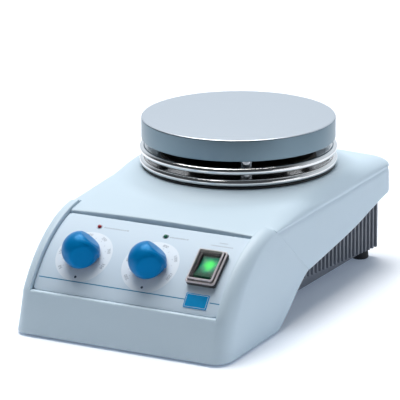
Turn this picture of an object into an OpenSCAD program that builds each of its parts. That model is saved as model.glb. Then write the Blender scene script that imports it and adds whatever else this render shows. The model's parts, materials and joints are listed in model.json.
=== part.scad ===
// Heating magnetic stirrer: round plate on a sloping bench housing.
// Millimetres. +Z up, the control panel faces -Y. The origin is on the bench under the middle of the footprint.

/* [Housing] */
// Width of the housing at its foot
body_w = 165; // [160:1:172]
// Depth of the housing, front apron to rear wall
body_d = 280; // [276:1:288]
// Wall of the moulded shells
wall = 3; // [2.4:0.1:3.4]
// Gap under the front shell
foot_gap = 2; // [1.5:0.5:3]
// Height of the flat seat under the plate stack
seat_z = 86.4; // [86:0.2:88]

/* [Plate stack] */
// Diameter of the hot plate
plate_d = 140; // [134:1:141]
// Thickness of the hot plate
plate_t = 15.5; // [14:0.5:18]
// Height of the plate's top face
plate_top = 122; // [120:0.5:126]
// Distance of the plate's centre behind the middle of the housing
plate_y = 45; // [43:0.5:47]
// Outer diameter of the polished shield rims
shield_d = 143; // [142:0.5:144]
// Diameter of the rolled rim of a shield
rim_d = 5.4; // [5:0.1:5.6]
// Height of the upper shield's middle plane
shield_z1 = 99.2; // [98.8:0.1:99.6]
// Height of the lower shield's middle plane
shield_z2 = 90.8; // [90.7:0.1:91.2]
// Radius of the circle of the spacer posts
post_circle_r = 61; // [60.5:0.1:61.2]
// Diameter of a spacer sleeve
sleeve_d = 8.6; // [8:0.1:8.8]

/* [Panel] */
// Width of the curved control panel
panel_w = 143; // [141:1:144]
// Radius of the panel's bend
panel_r = 95; // [94.8:0.1:95.2]
// Thickness of the panel
panel_t = 2; // [1.6:0.1:2.2]
// Diameter of the control knobs
knob_d = 28; // [26:0.5:30]
// Sideways place of the heat knob
knob_x1 = -42; // [-44:0.5:-40]
// Sideways place of the speed knob
knob_x2 = 10; // [8:0.5:12]
// Sideways place of the mains switch
switch_x = 53; // [51:0.5:54]

/* [Base] */
// Distance between two cooling ribs
rib_pitch = 6.4; // [6:0.1:7.2]
// Thickness of a cooling rib
rib_t = 2.4; // [2:0.1:2.8]
// Number of ribs on each side
rib_count = 23; // [16:1:23]
// Diameter of a rubber foot
foot_d = 13; // [11:0.5:14]

/* [Drive] */
// Diameter of the stirring motor
motor_d = 54; // [48:1:56]
// Diameter of the motor's shaft
shaft_d = 6; // [5:0.5:7]
// Radial running clearance of a shaft in its bush
run_gap = 0.04; // [0.02:0.01:0.08]

/* [Hidden] */
$fn = 64;

front_y = -body_d / 2;
rear_y = body_d / 2;
half_w = body_w / 2;
side_in = half_w - wall;
cheek_x = panel_w / 2 + 0.4;
tongue_x = cheek_x - 0.2;
shell_blue = [0.80, 0.86, 0.89];
steel = [0.75, 0.76, 0.78];
black = [0.10, 0.10, 0.11];
knob_blue = [0.03, 0.38, 0.66];

// centre line of the panel's bend, and the bend's two ends in degrees from the rear
bend_y = -47.4;
bend_z = -19.5;
bend_top = 106.8;
bend_low = 148.0;
knob_at = 129.7;
switch_at = 127.6;
lamp_at = 113.4;
badge_at = 142.4;
cheek_r = panel_r + 3.2;

plate_low = plate_top - plate_t;
post_angles = [-58, 62, 182];
stud_r = 2.5;
guard_r = 35.5;
collar_in_r = 36;
collar_top = seat_z + 1.6;
floor_low = 7;
floor_top = 10;
motor_low = 38;
motor_top = 76;
wall_y = 131;
tray_x = 66;
boss_x = 56;
boss_ys = [20, 95];
boss_z = 63;
inlet_x = -30;
inlet_z = 27;
probe_x = 26;
probe_z = 30;
rod_x = -55;
rod_y = 118;
foot_xs = [-60, 60];
foot_ys = [-118, 126];

function arc(r, a0, a1, n) = [for (i = [0:n])
    let (a = a0 + (a1 - a0) * i / n) [bend_y + r * cos(a), bend_z + r * sin(a)]];
function ellipse_arc(cx, cz, rx, rz, a0, a1, n) = [for (i = [0:n])
    let (a = a0 + (a1 - a0) * i / n) [cx + rx * cos(a), cz + rz * sin(a)]];

// Extrudes an outline drawn in (y, z) along X, from x0 to x1
module along_x(x0, x1) {
    translate([x0, 0, 0]) rotate([90, 0, 90]) linear_extrude(x1 - x0) children();
}

// Extrudes an outline drawn in (x, z) along Y, from y0 to y1
module along_y(y0, y1) {
    translate([0, y1, 0]) rotate([90, 0, 0]) linear_extrude(y1 - y0) children();
}

// Puts children on the panel's outer face: local Z is the face's normal, local Y runs up the slope
module on_panel(x, angle) {
    translate([x, bend_y, bend_z]) rotate([angle - 90, 0, 0]) translate([0, 0, panel_r]) children();
}

module ring(r_out, r_in, z0, z1) {
    translate([0, 0, z0]) difference() {
        cylinder(r = r_out, h = z1 - z0);
        translate([0, 0, -1]) cylinder(r = r_in, h = z1 - z0 + 2);
    }
}

module at_plate() {
    translate([0, plate_y, 0]) children();
}

module at_posts() {
    at_plate() for (a = post_angles) rotate([0, 0, a]) translate([post_circle_r, 0, 0]) children();
}

module at_leads() {
    at_plate() for (a = [116, 124]) rotate([0, 0, a]) translate([47, 0, 0]) children();
}

// ---- outlines of the housing, in (y, z)

rear_edge_low = 55;
knee = [-8, 32];
seam_top = [-58.5, 73];

top_line = [[-60, 77.4], [-40, 80.6], [-20, 83.1], [0, 84.9], [20, 85.9], [45, 86.2], [70, 85.9],
    [90, 85], [108, 83.4], [124, 81]];

module cover_outline() {
    polygon(concat(
        [knee, seam_top, [-73.5, 71.6], [-73.5, 74.8]],
        top_line,
        [[131, 79.3], [136, 76.2], [139, 71.5], [rear_y, 66], [rear_y - 0.5, rear_edge_low],
         [108, 50], [68, 42], [14, 34.7]]));
}

module cover_inner_outline() {
    polygon(concat(
        [[-100, 0], [-100, 66], [-80, 70.4]],
        [for (p = top_line) [p[0], p[1] - wall]],
        [[131, 76], [135.2, 71.5], [rear_y - wall, 65], [rear_y - wall, 0]]));
}

// Cross-section of the housing over its width, in (x, z); inset moves it inwards
module cross_section(inset) {
    shoulder_x = half_w - 16;
    shoulder_z = 71.6;
    right = concat(
        [[half_w - inset, -10], [half_w - 1.2 - inset, shoulder_z]],
        ellipse_arc(shoulder_x, shoulder_z, 14.8 - inset, 13 - inset, 15, 90, 6));
    left = [for (i = [len(right) - 1:-1:0]) [-right[i][0], right[i][1]]];
    polygon(concat(right, [[0, 86.4 - inset]], left));
}

module plan_outline(inset) {
    r = 14;
    hull() for (x = [-1, 1], y = [-1, 1])
        translate([x * (half_w - r), y * (body_d / 2 - r)]) circle(r = r - inset, $fn = 32);
}

module console_outline() {
    polygon(concat(
        [[front_y, foot_gap], [-131.6, 31]],
        arc(cheek_r, 149, 98.8, 14),
        [[-59.4, 76.2], seam_top, knee, [-12.6, 30.5], [-17.7, 27.7], [-26.2, 22.4], [-40, 12.1],
         [-53, 4], [-57, foot_gap]]));
}

module console_inner_outline() {
    polygon(concat(
        [[-136.6, -5], [-136.6, foot_gap], [-128.4, 31]],
        arc(panel_r - panel_t - 2.5, 149, 100, 12),
        [[-50, 90], [30, 90], [30, -5]]));
}

module panel_sector(r0, r1, a0, a1) {
    polygon(concat(arc(r1, a0, a1, 16), arc(r0, a1, a0, 16)));
}

// ---- housing

module top_cover() {
    color(shell_blue) difference() {
        union() {
            intersection() {
                along_x(-half_w, half_w) cover_outline();
                along_y(front_y, rear_y) cross_section(0);
                linear_extrude(200) plan_outline(0);
            }
            at_plate() translate([0, 0, seat_z - 9]) cylinder(r = 71, h = 9);
            translate([rod_x, rod_y, 74]) cylinder(r = 12, h = 8);
        }
        intersection() {
            along_x(-side_in, side_in) cover_inner_outline();
            along_y(front_y, rear_y) cross_section(wall);
            translate([0, 0, -20]) linear_extrude(200) plan_outline(wall);
        }
        // the cheeks of the front shell pass on both sides of the tongue
        for (s = [-1, 1])
            translate([s * (tongue_x + 10), -66, 70]) cube([20, 15.8, 40], center = true);
        at_plate() translate([0, 0, seat_z - 12]) cylinder(r = 12, h = 20);
        at_posts() translate([0, 0, seat_z - 12]) cylinder(r = stud_r, h = 20);
        at_leads() translate([0, 0, seat_z - 12]) cylinder(r = 2.5, h = 20);
        translate([rod_x, rod_y, 60]) cylinder(r = 10, h = 40);
    }
    color(shell_blue) for (s = [-1, 1], y = boss_ys) difference() {
        translate([s * boss_x, y, boss_z]) cylinder(r = 5, h = 82 - boss_z);
        translate([s * boss_x, y, boss_z - 1]) cylinder(r = 2, h = 9);
    }
}

module front_console() {
    color(shell_blue) difference() {
        intersection() {
            along_x(-half_w, half_w) console_outline();
            linear_extrude(200) plan_outline(0);
        }
        intersection() {
            along_x(-side_in, side_in) console_inner_outline();
            translate([0, 0, -20]) linear_extrude(200) plan_outline(wall);
        }
        // seat of the panel, its window, and the room for the cover's tongue
        along_x(-cheek_x, cheek_x)
            panel_sector(panel_r - panel_t, panel_r + 20, 106.5, bend_low + 0.3);
        along_x(-cheek_x, cheek_x)
            polygon([[-73.7, 68], [-73.7, 100], [-40, 100], [-40, 60], [-60, 60]]);
        along_x(-67, 67) panel_sector(60, panel_r + 5, 109.5, 145);
    }
}

module control_panel() {
    color([0.83, 0.88, 0.91]) difference() {
        along_x(-panel_w / 2, panel_w / 2) panel_sector(panel_r - panel_t, panel_r, bend_top, bend_low);
        for (x = [knob_x1, knob_x2]) on_panel(x, knob_at) cylinder(r = 3.6, h = 20, center = true);
        for (x = [knob_x1, knob_x2]) on_panel(x, lamp_at) cylinder(r = 1.6, h = 20, center = true);
        on_panel(switch_x, switch_at) cube([18.4, 24.4, 20], center = true);
    }
}

module badge() {
    color(knob_blue) intersection() {
        along_x(switch_x - 8.8, switch_x + 8.8) panel_sector(panel_r + 0.02, panel_r + 0.5, 138, 147);
        on_panel(switch_x, badge_at) cube([17.6, 10.6, 8], center = true);
    }
}

// ---- controls

grip_rise = 22.8;
grip_turn = 53.6;
grip_depth = 8.3;
ridge_w = 4.4;

module knob() {
    body_r = knob_d / 2;
    difference() {
        union() {
            translate([0, 0, 1.2]) cylinder(r = body_r, h = 5.4);
            translate([0, 0, 6.5]) sphere(r = body_r, $fn = 48);
        }
        translate([0, 0, -20]) cube([60, 60, 42.4], center = true);
        // two slanted grip faces leave a ridge that points along +X
        for (s = [-1, 1]) intersection() {
            translate([0, 0, 6.5]) rotate([0, -grip_rise, s * grip_turn])
                translate([grip_depth + 20, 0, 0]) cube([40, 60, 60], center = true);
            translate([0, s * (ridge_w / 2 + 20), 0]) cube([80, 40, 80], center = true);
        }
        translate([0, 0, -1]) cylinder(r = 7.2, h = 7.5);
        translate([0, 0, 5]) cylinder(r = shaft_d / 2, h = 9);
    }
}

module heat_knob() {
    color(knob_blue) on_panel(knob_x1, knob_at) knob();
}

module speed_knob() {
    color(knob_blue) on_panel(knob_x2, knob_at) knob();
}

module control_shaft() {
    translate([0, 0, -8]) cylinder(r = shaft_d / 2, h = 22);
}

module heat_shaft() {
    color(steel) on_panel(knob_x1, knob_at) control_shaft();
}

module speed_shaft() {
    color(steel) on_panel(knob_x2, knob_at) control_shaft();
}

module potentiometer() {
    difference() {
        union() {
            translate([0, 0, -14]) cylinder(r = 8, h = 11.4);
            translate([0, 0, -4]) cylinder(r = 3.5, h = 8.4);
            for (x = [-4, 0, 4]) translate([x - 0.8, -12, -9]) cube([1.6, 6, 0.8]);
        }
        translate([0, 0, -9]) cylinder(r = shaft_d / 2 + run_gap, h = 20);
    }
}

module heat_potentiometer() {
    color([0.25, 0.45, 0.35]) on_panel(knob_x1, knob_at) potentiometer();
}

module speed_potentiometer() {
    color([0.25, 0.45, 0.35]) on_panel(knob_x2, knob_at) potentiometer();
}

module knob_nuts() {
    color(steel) for (x = [knob_x1, knob_x2]) on_panel(x, knob_at) difference() {
        translate([0, 0, 0.05]) cylinder(r = 6, h = 2.2, $fn = 6);
        cylinder(r = 3.5, h = 10, center = true);
    }
}

module lamp() {
    translate([0, 0, -6]) cylinder(r = 1.5, h = 6.2);
    translate([0, 0, 0.2]) intersection() {
        sphere(r = 1.5, $fn = 32);
        cylinder(r = 3, h = 3);
    }
}

module heat_lamp() {
    color([0.75, 0.12, 0.15]) on_panel(knob_x1, lamp_at) lamp();
}

module power_lamp() {
    color([0.1, 0.35, 0.25]) on_panel(knob_x2, lamp_at) lamp();
}

switch_w = 22;
switch_h = 28;
rocker_w = 13.4;
rocker_pin_r = 1.2;

module switch_housing() {
    color(black) on_panel(switch_x, switch_at) difference() {
        union() {
            difference() {
                translate([-switch_w / 2, -switch_h / 2, -1.4]) cube([switch_w, switch_h, 3.6]);
                translate([0, 0, -panel_r]) rotate([0, 90, 0])
                    cylinder(r = panel_r + 0.03, h = 60, center = true, $fn = 128);
            }
            translate([-9, -12, -20]) cube([18, 24, 20.5]);
            for (s = [-7, 0, 7]) translate([-3, s - 0.4, -28]) cube([6, 0.8, 9]);
        }
        translate([-7, -10.6, -14]) cube([14, 21.2, 30]);
        translate([0, 0, -2]) rotate([0, 90, 0]) cylinder(r = rocker_pin_r + run_gap, h = 16.6, center = true);
    }
}

module switch_rocker() {
    color([0.1, 0.75, 0.35]) on_panel(switch_x, switch_at) translate([0, 0, -2]) rotate([-9, 0, 0]) {
        along_x(-rocker_w / 2, rocker_w / 2)
            polygon([[-9.3, 5], [-4.8, 4.1], [0, 3.8], [4.8, 4.1], [9.3, 5], [9.3, 0], [4, -6],
                     [-4, -6], [-9.3, 0]]);
        rotate([0, 90, 0]) cylinder(r = rocker_pin_r, h = 16.4, center = true);
    }
}

module splash_cover() {
    color([0.85, 0.85, 0.88, 0.4]) on_panel(switch_x, switch_at) difference() {
        union() {
            translate([-switch_w / 2, -switch_h / 2, 2.25]) cube([switch_w, switch_h, 1.2]);
            translate([-9.6, -12.6, 2.25]) cube([19.2, 25.2, 4.2]);
        }
        translate([-8.6, -11.6, 0]) cube([17.2, 23.2, 5.6]);
    }
}

// ---- plate stack

module hot_plate() {
    r = plate_d / 2;
    color([0.62, 0.66, 0.69]) at_plate() difference() {
        rotate_extrude($fn = 128) polygon([[0, plate_low], [r - 0.6, plate_low], [r, plate_low + 0.6],
            [r, plate_top - 1], [r - 1, plate_top], [0, plate_top]]);
        for (a = post_angles) rotate([0, 0, a]) translate([post_circle_r, 0, plate_low - 1])
            cylinder(r = stud_r, h = 9);
    }
}

module heating_element() {
    color([0.35, 0.33, 0.32]) at_plate() difference() {
        ring(56, 38.5, plate_low - 4, plate_low);
        rotate([0, 0, 210]) translate([47, 0, 98]) cylinder(r = 7.5, h = 20);
        rotate([0, 0, 300]) translate([47, 0, 100]) cube([24, 6, 20], center = true);
    }
}

module safety_thermostat() {
    color([0.7, 0.62, 0.45]) at_plate() rotate([0, 0, 210]) translate([47, 0, plate_low - 5])
        cylinder(r = 6.8, h = 5);
}

module temperature_sensor() {
    color(steel) at_plate() rotate([0, 0, 300]) translate([39, 0, plate_low - 2.2]) rotate([0, 90, 0])
        cylinder(r = 2.2, h = 16);
}

module shield(z) {
    rim_r = rim_d / 2;
    rim_circle = shield_d / 2 - rim_r;
    difference() {
        at_plate() union() {
            ring(rim_circle, 37, z - 0.5, z + 0.5);
            translate([0, 0, z]) rotate_extrude($fn = 128) translate([rim_circle, 0]) circle(r = rim_r, $fn = 32);
        }
        at_posts() translate([0, 0, z - 5]) cylinder(r = stud_r, h = 10);
        at_leads() translate([0, 0, z - 5]) cylinder(r = 2.5, h = 10);
    }
}

module upper_shield() {
    color([0.9, 0.9, 0.92]) shield(shield_z1);
}

module lower_shield() {
    color([0.9, 0.9, 0.92]) shield(shield_z2);
}

module sleeve(z0, z1) {
    ring(sleeve_d / 2, stud_r, z0, z1);
}

module spacer_sleeves() {
    color([0.8, 0.8, 0.82]) at_posts() {
        sleeve(shield_z1 + 0.5, plate_low);
        sleeve(shield_z2 + 0.5, shield_z1 - 0.5);
        sleeve(collar_top, shield_z2 - 0.5);
    }
}

module plate_studs() {
    color(steel) at_posts() translate([0, 0, 74]) cylinder(r = stud_r, h = plate_low + 8 - 74);
}

module stud_nuts() {
    color(steel) at_posts() difference() {
        translate([0, 0, 76.2]) cylinder(r = 4.6, h = 4, $fn = 6);
        translate([0, 0, 74]) cylinder(r = stud_r, h = 8);
    }
}

module insulating_collar() {
    color(black) difference() {
        at_plate() ring(70, collar_in_r, seat_z, collar_top);
        at_posts() translate([0, 0, seat_z - 1]) cylinder(r = stud_r, h = 4);
        at_leads() translate([0, 0, seat_z - 1]) cylinder(r = 2.5, h = 4);
    }
}

module magnet_guard() {
    color(black) at_plate() difference() {
        translate([0, 0, seat_z]) cylinder(r = guard_r, h = 105.2 - seat_z);
        translate([0, 0, seat_z - 1]) cylinder(r = guard_r - 1.5, h = 105.2 - seat_z);
    }
}

module heater_leads() {
    color([0.8, 0.2, 0.15]) at_leads() translate([0, 0, 58]) cylinder(r = 1.2, h = plate_low - 4 - 58);
}

// ---- drive

module motor_case() {
    color([0.3, 0.31, 0.33]) at_plate() difference() {
        union() {
            translate([0, 0, motor_low]) cylinder(r = motor_d / 2, h = motor_top - motor_low);
            translate([0, 0, motor_low - 3]) cylinder(r = 11, h = 4);
        }
        translate([0, 0, motor_low]) cylinder(r = shaft_d / 2 + 2, h = 60);
        translate([0, 0, motor_top - 6]) cylinder(r = 6, h = 10);
        translate([0, 0, motor_low]) cylinder(r = 6, h = 6);
    }
}

module motor_bushes() {
    color([0.72, 0.55, 0.3]) at_plate() {
        ring(6, shaft_d / 2 + run_gap, motor_low, motor_low + 6);
        ring(6, shaft_d / 2 + run_gap, motor_top - 6, motor_top);
    }
}

bracket_hole_x = 33;
bracket_hole_y = 24;

module at_bracket_holes() {
    at_plate() for (x = [-1, 1], y = [-1, 1]) translate([x * bracket_hole_x, y * bracket_hole_y, 0])
        children();
}

module motor_bracket() {
    color(steel) difference() {
        at_plate() translate([-40, -30, motor_top]) cube([80, 60, 2]);
        at_plate() translate([0, 0, motor_top - 1]) cylinder(r = 8, h = 4);
        at_bracket_holes() translate([0, 0, motor_top - 1]) cylinder(r = 2, h = 4);
    }
}

module motor_standoffs() {
    color([0.2, 0.2, 0.2]) at_bracket_holes() {
        ring(4, 2, motor_top + 2, seat_z - wall - 1);
        translate([0, 0, motor_top - 3]) cylinder(r = 2, h = 9.4);
        translate([0, 0, motor_top - 3]) cylinder(r = 3.5, h = 3);
    }
}

module drive_shaft() {
    color(steel) at_plate() translate([0, 0, motor_low + 1]) cylinder(r = shaft_d / 2, h = 97 - motor_low - 1);
}

module magnet_carrier() {
    color([0.7, 0.72, 0.74]) at_plate() difference() {
        union() {
            translate([0, 0, 93]) cylinder(r = 28, h = 3.5);
            translate([0, 0, 89]) cylinder(r = 7, h = 5);
        }
        translate([0, 0, 80]) cylinder(r = shaft_d / 2, h = 30);
    }
}

module drive_magnets() {
    color([0.35, 0.35, 0.37]) at_plate() for (s = [-1, 1]) translate([s * 18, 0, 96.5])
        cylinder(r = 8.5, h = 6);
}

// ---- electronics

board_y0 = -104;
board_y1 = -34;
board_z = 18;

module at_board_corners() {
    for (x = [-48, 48], y = [board_y0 + 5, board_y1 - 5]) translate([x, y, 0]) children();
}

module control_board() {
    color([0.1, 0.4, 0.25]) difference() {
        translate([-54, board_y0, board_z]) cube([108, board_y1 - board_y0, 1.6]);
        at_board_corners() translate([0, 0, board_z - 1]) cylinder(r = 1.6, h = 4);
    }
}

module board_components() {
    top = board_z + 1.6;
    color([0.3, 0.3, 0.34]) {
        translate([-40, -98, top]) cube([28, 24, 20]);
        translate([-4, -96, top]) cube([20, 16, 15]);
        translate([14, -60, top]) cube([30, 3, 22]);
        translate([-40, -50, top]) cube([34, 10, 11]);
        for (x = [30, 42]) translate([x, -88, top]) cylinder(r = 5, h = 16);
        for (x = [-30, -20, -10]) translate([x, -62, top]) cylinder(r = 3, h = 8);
        for (x = [18, 28, 38]) translate([x, -57, top + 4]) cube([8, 4, 12]);
    }
}

module board_spacers() {
    color(steel) at_board_corners() {
        translate([0, 0, floor_top]) cylinder(r = 3, h = board_z - floor_top);
        translate([0, 0, board_z]) cylinder(r = 1.6, h = 2);
        translate([0, 0, board_z + 1.6]) cylinder(r = 3, h = 1.8);
    }
}

// ---- base

// underside of the ribs: it rises towards the front
rib_rise = 0.09;
function rib_low(y) = 8 + (130 - y) * rib_rise;
rib_top = 60;
edge_cut = 4.5;
vent_pitch = 9;
vent_w = 4;
rib_out = 70.5;
tray_front = -14;
apron_y = -72;
apron_top = 33;

module base_tray() {
    color([0.4, 0.42, 0.46]) difference() {
        union() {
            translate([-tray_x, -128, floor_low]) cube([2 * tray_x, wall_y + 131, floor_top - floor_low]);
            for (s = [-1, 1]) {
                translate([s * (tray_x - 1.5) - 1.5, tray_front, floor_low])
                    cube([3, wall_y + 3 - tray_front, rib_top - floor_low]);
                translate([s * (tray_x - 6) - 6, tray_front, floor_low])
                    cube([12, wall_y + 3 - tray_front, 16]);
                translate([s * (tray_x - 1.5) - 1.5, apron_y, floor_low])
                    cube([3, tray_front - apron_y, apron_top - floor_low]);
            }
            translate([-tray_x, wall_y, floor_low]) cube([2 * tray_x, 3, rib_top + 6 - floor_low]);
            for (s = [-1, 1], i = [0:rib_count - 1]) {
                y = wall_y + 3 - rib_t - i * rib_pitch;
                translate([s > 0 ? tray_x - 1 : -rib_out, y, rib_low(y)])
                    cube([rib_out - tray_x + 1, rib_t, rib_top - rib_low(y)]);
            }
            for (s = [-1, 1], y = boss_ys) translate([s * boss_x, y, floor_low])
                cylinder(r = 5, h = boss_z - floor_low);
        }
        // the lower side edges are cut back along the line of the ribs' feet
        for (s = [-1, 1]) translate([0, 130, rib_low(130) - 0.6]) rotate([-atan(rib_rise), 0, 0])
            along_y(-150, 10)
                polygon([[s * tray_x, 0], [s * (tray_x - edge_cut), -14], [s * (tray_x - edge_cut), -40],
                         [s * (tray_x + 20), -40], [s * (tray_x + 20), 0]]);
        // slots under the motor let the cooling air in
        for (i = [-4:4]) translate([i * vent_pitch - vent_w / 2, 30, floor_low - 1]) cube([vent_w, 40, 6]);
        translate([inlet_x - 14, wall_y - 1, inlet_z - 10.4]) cube([28, 8, 32.4]);
        translate([probe_x, wall_y + 8, probe_z]) rotate([90, 0, 0]) cylinder(r = 8.2, h = 14);
        for (x = foot_xs, y = foot_ys) translate([x, y, floor_low - 1]) cylinder(r = 2, h = 30);
        for (s = [-1, 1], y = boss_ys) translate([s * boss_x, y, floor_low - 1]) cylinder(r = 2, h = 80);
    }
}

module rubber_feet() {
    color(black) for (x = foot_xs, y = foot_ys) translate([x, y, 0]) difference() {
        rotate_extrude() polygon([[0, 0], [foot_d / 2 - 0.8, 0], [foot_d / 2, 0.8],
            [foot_d / 2 - 0.6, floor_low], [0, floor_low]]);
        translate([0, 0, -1]) cylinder(r = 3.6, h = 4);
        cylinder(r = 2, h = 20);
    }
}

module foot_screws() {
    color(steel) for (x = foot_xs, y = foot_ys) translate([x, y, 3]) {
        translate([0, 0, -1.8]) cylinder(r = 3.4, h = 1.8);
        cylinder(r = 2, h = 16);
    }
}

module cover_screws() {
    color(steel) for (s = [-1, 1], y = boss_ys) translate([s * boss_x, y, 0]) {
        translate([0, 0, floor_low - 2.2]) cylinder(r = 3.4, h = 2.2);
        translate([0, 0, floor_low]) cylinder(r = 2, h = 60);
    }
}

// ---- rear connectors

module mains_inlet() {
    color(black) difference() {
        union() {
            translate([inlet_x - 13.8, wall_y - 20, inlet_z - 10]) cube([27.6, 23, 31.6]);
            translate([inlet_x - 16, wall_y + 3, inlet_z - 12.2]) cube([32, 2.4, 36]);
        }
        translate([inlet_x - 12.2, wall_y - 12, inlet_z - 8.2]) cube([24.4, 30, 16.4]);
        translate([inlet_x - 11.1, wall_y - 18, inlet_z + 11.9]) cube([22.2, 30, 7.2]);
    }
}

module inlet_pins() {
    color(steel) for (p = [[-7, -2], [0, 2], [7, -2]])
        translate([inlet_x + p[0] - 1, wall_y - 26, inlet_z + p[1] - 2]) cube([2, 24, 4]);
}

module fuse_drawer() {
    color([0.15, 0.15, 0.16]) difference() {
        union() {
            translate([inlet_x - 10.8, wall_y - 17, inlet_z + 12.2]) cube([21.6, 23, 6.6]);
            translate([inlet_x - 12.5, wall_y + 5.5, inlet_z + 10.8]) cube([25, 1.6, 9.4]);
        }
        for (s = [-1, 1]) translate([inlet_x + s * 5.2 - 3, wall_y - 18, inlet_z + 14]) cube([6, 21, 8]);
    }
}

module fuses() {
    color([0.85, 0.88, 0.9]) for (s = [-1, 1])
        translate([inlet_x + s * 5.2, wall_y + 2.6, inlet_z + 16.5]) rotate([90, 0, 0])
            cylinder(r = 2.2, h = 19);
}

module probe_socket() {
    color(black) translate([probe_x, 0, probe_z]) rotate([-90, 0, 0]) difference() {
        union() {
            translate([0, 0, wall_y - 12]) cylinder(r = 8, h = 15.5);
            translate([0, 0, wall_y + 3]) cylinder(r = 10.5, h = 2.2);
        }
        translate([0, 0, wall_y - 4]) cylinder(r = 6.2, h = 20);
    }
}

module probe_contacts() {
    color([0.85, 0.7, 0.3]) for (a = [0, 72, 144, 216, 288])
        translate([probe_x + 3.6 * cos(a), wall_y - 15, probe_z + 3.6 * sin(a)]) rotate([-90, 0, 0])
            cylinder(r = 0.6, h = 15);
}

module rod_socket() {
    color(steel) translate([rod_x, rod_y, 0]) difference() {
        union() {
            translate([0, 0, 61]) cylinder(r = 10, h = 23);
            translate([0, 0, 61]) cylinder(r = 12, h = 3);
        }
        translate([0, 0, 64]) cylinder(r = 4.25, h = 30);
    }
}

top_cover();
front_console();
control_panel();
badge();
heat_knob();
speed_knob();
heat_shaft();
speed_shaft();
heat_potentiometer();
speed_potentiometer();
knob_nuts();
heat_lamp();
power_lamp();
switch_housing();
switch_rocker();
splash_cover();
hot_plate();
heating_element();
safety_thermostat();
temperature_sensor();
upper_shield();
lower_shield();
spacer_sleeves();
plate_studs();
stud_nuts();
insulating_collar();
magnet_guard();
heater_leads();
motor_case();
motor_bushes();
motor_bracket();
motor_standoffs();
drive_shaft();
magnet_carrier();
drive_magnets();
control_board();
board_components();
board_spacers();
base_tray();
rubber_feet();
foot_screws();
mains_inlet();
inlet_pins();
fuse_drawer();
fuses();
probe_socket();
probe_contacts();
rod_socket();
cover_screws();
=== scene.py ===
# Heating magnetic stirrer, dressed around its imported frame. Metres, +Z up, and the control panel faces -Y.
import json
import math
import random

import bmesh
import bpy
from mathutils import Matrix, Vector


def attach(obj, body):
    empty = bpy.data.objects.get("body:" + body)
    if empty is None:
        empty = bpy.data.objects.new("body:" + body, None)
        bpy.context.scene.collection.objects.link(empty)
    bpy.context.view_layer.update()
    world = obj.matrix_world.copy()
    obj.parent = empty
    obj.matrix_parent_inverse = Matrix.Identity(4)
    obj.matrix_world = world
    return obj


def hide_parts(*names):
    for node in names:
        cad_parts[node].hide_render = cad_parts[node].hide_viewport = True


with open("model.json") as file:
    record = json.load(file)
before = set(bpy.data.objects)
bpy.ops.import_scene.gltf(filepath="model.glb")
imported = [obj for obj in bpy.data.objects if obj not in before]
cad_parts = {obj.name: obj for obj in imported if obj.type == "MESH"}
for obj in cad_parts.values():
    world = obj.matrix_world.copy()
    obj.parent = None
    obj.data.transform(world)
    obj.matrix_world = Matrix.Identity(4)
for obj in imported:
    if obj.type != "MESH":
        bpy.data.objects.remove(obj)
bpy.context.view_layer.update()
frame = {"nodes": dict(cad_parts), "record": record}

random.seed(11)

# ---- Rear cover
# The upper housing: one shell injection moulded in light blue-grey polyurethane, with a fine eroded grain.
# It is crowned over its width, rises to a round seat for the plate stack, and rolls over a soft shoulder into
# side skirts. Four screws from below pull it on to the base tray.


def linear(code):
    """An sRGB hex colour as linear red, green, blue and alpha."""
    parts = [int(code[i:i + 2], 16) / 255 for i in (1, 3, 5)]
    return tuple(v / 12.92 if v <= 0.04045 else ((v + 0.055) / 1.055) ** 2.4 for v in parts) + (1.0,)


def add(tree, kind, inputs=None, **settings):
    """Adds a node. inputs gives each socket a value, or a (node, output) pair to link."""
    made = tree.nodes.new(kind)
    for name, value in settings.items():
        setattr(made, name, value)
    for socket, value in (inputs or {}).items():
        if isinstance(value, tuple) and isinstance(value[0], bpy.types.Node):
            tree.links.new(value[0].outputs[value[1]], made.inputs[socket])
        else:
            made.inputs[socket].default_value = value
    return made


def finish(name, colour, roughness, metallic=0.0, **even):
    """A new material, its tree and its shader, with the even values set on the shader's own sockets."""
    made = bpy.data.materials.new(name)
    made.use_nodes = True
    shader = made.node_tree.nodes["Principled BSDF"]
    even.update(Base_Color=linear(colour), Roughness=roughness, Metallic=metallic)
    for socket, value in even.items():
        shader.inputs[socket.replace("_", " ")].default_value = value
    return made, made.node_tree, shader


def textured(tree, shader, gloss=None, relief=None, shades=None, **pattern):
    """Marks from one noise pattern.

    gloss is the roughness they run between, relief the strength and distance of their bump, and shades the two
    colours they wander between.
    """
    spot = add(tree, "ShaderNodeTexCoord")
    marks = add(tree, "ShaderNodeTexNoise", {"Vector": (spot, "Object"), **pattern})
    if gloss:
        satin = add(tree, "ShaderNodeMapRange", {"Value": (marks, "Fac"), "To Min": gloss[0],
                                                 "To Max": gloss[1]})
        tree.links.new(satin.outputs["Result"], shader.inputs["Roughness"])
    if relief:
        raised = add(tree, "ShaderNodeBump", {"Height": (marks, "Fac"), "Strength": relief[0],
                                              "Distance": relief[1]})
        tree.links.new(raised.outputs["Normal"], shader.inputs["Normal"])
    if shades:
        tint = add(tree, "ShaderNodeMix", {"Factor": (marks, "Fac"), "A": linear(shades[0]),
                                           "B": linear(shades[1])}, data_type="RGBA")
        tree.links.new(tint.outputs["Result"], shader.inputs["Base Color"])


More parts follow.
